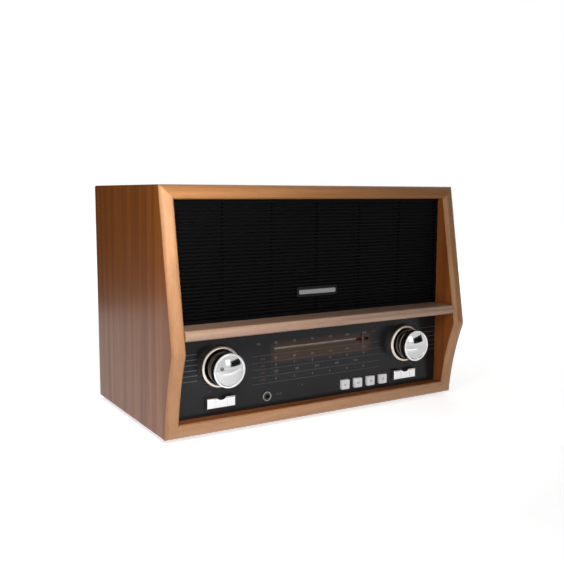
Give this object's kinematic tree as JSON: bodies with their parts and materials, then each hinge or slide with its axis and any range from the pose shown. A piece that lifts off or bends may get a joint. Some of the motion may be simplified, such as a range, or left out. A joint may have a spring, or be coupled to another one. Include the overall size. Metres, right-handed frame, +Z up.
{
  "type": "tabletop radio",
  "caption": "Wooden tabletop radio with a kinked front, louvred speaker grille over a black dial panel, chrome knobs, slide switches, keys and a rod antenna.",
  "frame": {"origin": "centre of the footprint, at the undersides of the feet", "axes": "+Z up, the dial and grille face -Y, +X to the right as seen from the front"},
  "size_m": [0.3, 0.19, 0.2035],
  "materials": {
    "veneer": "walnut-coloured veneer under satin lacquer",
    "shelf_wood": "lacquered wood with a rounded front edge",
    "raw_wood": "unfinished softwood and plywood",
    "hardboard": "dark stained hardboard",
    "grille": "moulded black plastic",
    "cloth": "black woven speaker cloth",
    "badge": "black plate with a bright raised bar",
    "panel": "gloss black dial panel with printed scales",
    "brass": "satin bronze strip",
    "pointer": "red needle",
    "cord": "waxed braided dial cord",
    "ivory_plastic": "moulded nylon",
    "steel": "zinc-plated steel",
    "chrome": "polished chrome plating",
    "spun_aluminium": "polished spun aluminium",
    "button": "white gloss keycap",
    "board": "green circuit board",
    "components": "soldered electronic parts",
    "black_plastic": "moulded black plastic",
    "rubber": "black rubber",
    "paper": "black paper cone",
    "magnet": "ferrite magnet"
  },
  "bodies": {
    "cabinet": {"cabinet_top": "veneer", "cabinet_bottom": "veneer", "cabinet_left_side": "veneer", "cabinet_right_side": "veneer", "divider_shelf": "shelf_wood", "corner_blocks": "raw_wood", "front_baffle": "raw_wood", "rear_cover": "hardboard", "rubber_feet": "rubber", "speaker_grille": "grille", "grille_cloth": "cloth", "badge_plate": "badge", "dial_panel": "panel", "pointer_rail": "brass", "dial_cord": "cord", "tuning_potentiometer": "steel", "dial_chassis": "steel", "tuning_bushing": "brass", "tuning_bezel": "chrome", "volume_bezel": "chrome", "volume_potentiometer": "steel", "function_switch_body": "steel", "band_switch_body": "steel", "tact_switches": "black_plastic", "control_board": "board", "aux_jack": "black_plastic", "aux_jack_ring": "chrome", "main_board": "board", "board_components": "components", "power_transformer": "steel", "mains_inlet": "black_plastic", "left_speaker_frame": "steel", "left_speaker_cone": "paper", "left_speaker_magnet": "magnet", "right_speaker_frame": "steel", "right_speaker_cone": "paper", "right_speaker_magnet": "magnet", "ferrite_antenna": "magnet", "antenna_base": "black_plastic", "rear_screws": "steel", "speaker_screws": "steel"},
    "tuning": {"tuning_knob": "chrome", "tuning_knob_cap": "spun_aluminium", "tuning_spindle": "steel"},
    "volume": {"volume_knob": "chrome", "volume_knob_cap": "spun_aluminium", "volume_shaft": "steel"},
    "pointer": {"dial_pointer": "pointer"},
    "idler": {"idler_pulley": "ivory_plastic"},
    "drum": {"tuning_drum": "ivory_plastic"},
    "function_switch": {"function_switch_cap": "chrome"},
    "band_switch": {"band_switch_cap": "chrome"},
    "key_1": {"button_1": "button"},
    "key_2": {"button_2": "button"},
    "key_3": {"button_3": "button"},
    "key_4": {"button_4": "button"},
    "antenna_swivel": {"antenna_knuckle": "chrome"},
    "antenna_arm": {"antenna_tube_1": "chrome"},
    "antenna_middle": {"antenna_tube_2": "chrome"},
    "antenna_tip": {"antenna_tube_3": "chrome"}
  },
  "joints": [
    {"name": "tuning_turn", "type": "hinge", "parent": "cabinet", "child": "tuning", "pos_m": [0.0976, -0.075, 0.0553], "axis": [0, 1, 0], "range_deg": [-1728, 85]},
    {"name": "pointer_travel", "type": "slide", "parent": "cabinet", "child": "pointer", "axis": [1, 0, 0], "range_m": [-0.0905, 0.0045]},
    {"name": "idler_turn", "type": "hinge", "parent": "cabinet", "child": "idler", "pos_m": [0.07, -0.045, 0.0596], "axis": [0, 1, 0], "range_deg": [-1297, 65]},
    {"name": "drum_turn", "type": "hinge", "parent": "cabinet", "child": "drum", "pos_m": [-0.066, -0.045, 0.0416], "axis": [0, 1, 0], "range_deg": [-236, 12]},
    {"name": "volume_turn", "type": "hinge", "parent": "cabinet", "child": "volume", "pos_m": [-0.0976, -0.075, 0.0553], "axis": [0, 1, 0], "range_deg": [-70, 230]},
    {"name": "function_slide", "type": "slide", "parent": "cabinet", "child": "function_switch", "axis": [1, 0, 0], "range_m": [-0.004, 0.004]},
    {"name": "band_slide", "type": "slide", "parent": "cabinet", "child": "band_switch", "axis": [1, 0, 0], "range_m": [-0.004, 0.004]},
    {"name": "key_1_press", "type": "slide", "parent": "cabinet", "child": "key_1", "axis": [0, 1, 0], "range_m": [0, 0.001], "stiffness_N_per_m": 300},
    {"name": "key_2_press", "type": "slide", "parent": "cabinet", "child": "key_2", "axis": [0, 1, 0], "range_m": [0, 0.001], "stiffness_N_per_m": 300},
    {"name": "key_3_press", "type": "slide", "parent": "cabinet", "child": "key_3", "axis": [0, 1, 0], "range_m": [0, 0.001], "stiffness_N_per_m": 300},
    {"name": "key_4_press", "type": "slide", "parent": "cabinet", "child": "key_4", "axis": [0, 1, 0], "range_m": [0, 0.001], "stiffness_N_per_m": 300},
    {"name": "antenna_swivel_turn", "type": "hinge", "parent": "cabinet", "child": "antenna_swivel", "pos_m": [-0.108, 0.091, 0.1825], "axis": [0, -1, 0], "range_deg": [0, 180]},
    {"name": "antenna_tilt", "type": "hinge", "parent": "antenna_swivel", "child": "antenna_arm", "pos_m": [-0.096, 0.091, 0.1825], "axis": [0, 0, 1], "range_deg": [0, 90]},
    {"name": "antenna_middle_slide", "type": "slide", "parent": "antenna_arm", "child": "antenna_middle", "axis": [1, 0, 0], "range_m": [0, 0.145]},
    {"name": "antenna_tip_slide", "type": "slide", "parent": "antenna_middle", "child": "antenna_tip", "axis": [1, 0, 0], "range_m": [0, 0.145]}
  ],
  "couplings": [
    {"joint": "pointer_travel", "follows": "tuning_turn", "m_per_rad": 0.003},
    {"joint": "idler_turn", "follows": "tuning_turn", "ratio": 0.75},
    {"joint": "drum_turn", "follows": "tuning_turn", "ratio": 0.13636}
  ]
}
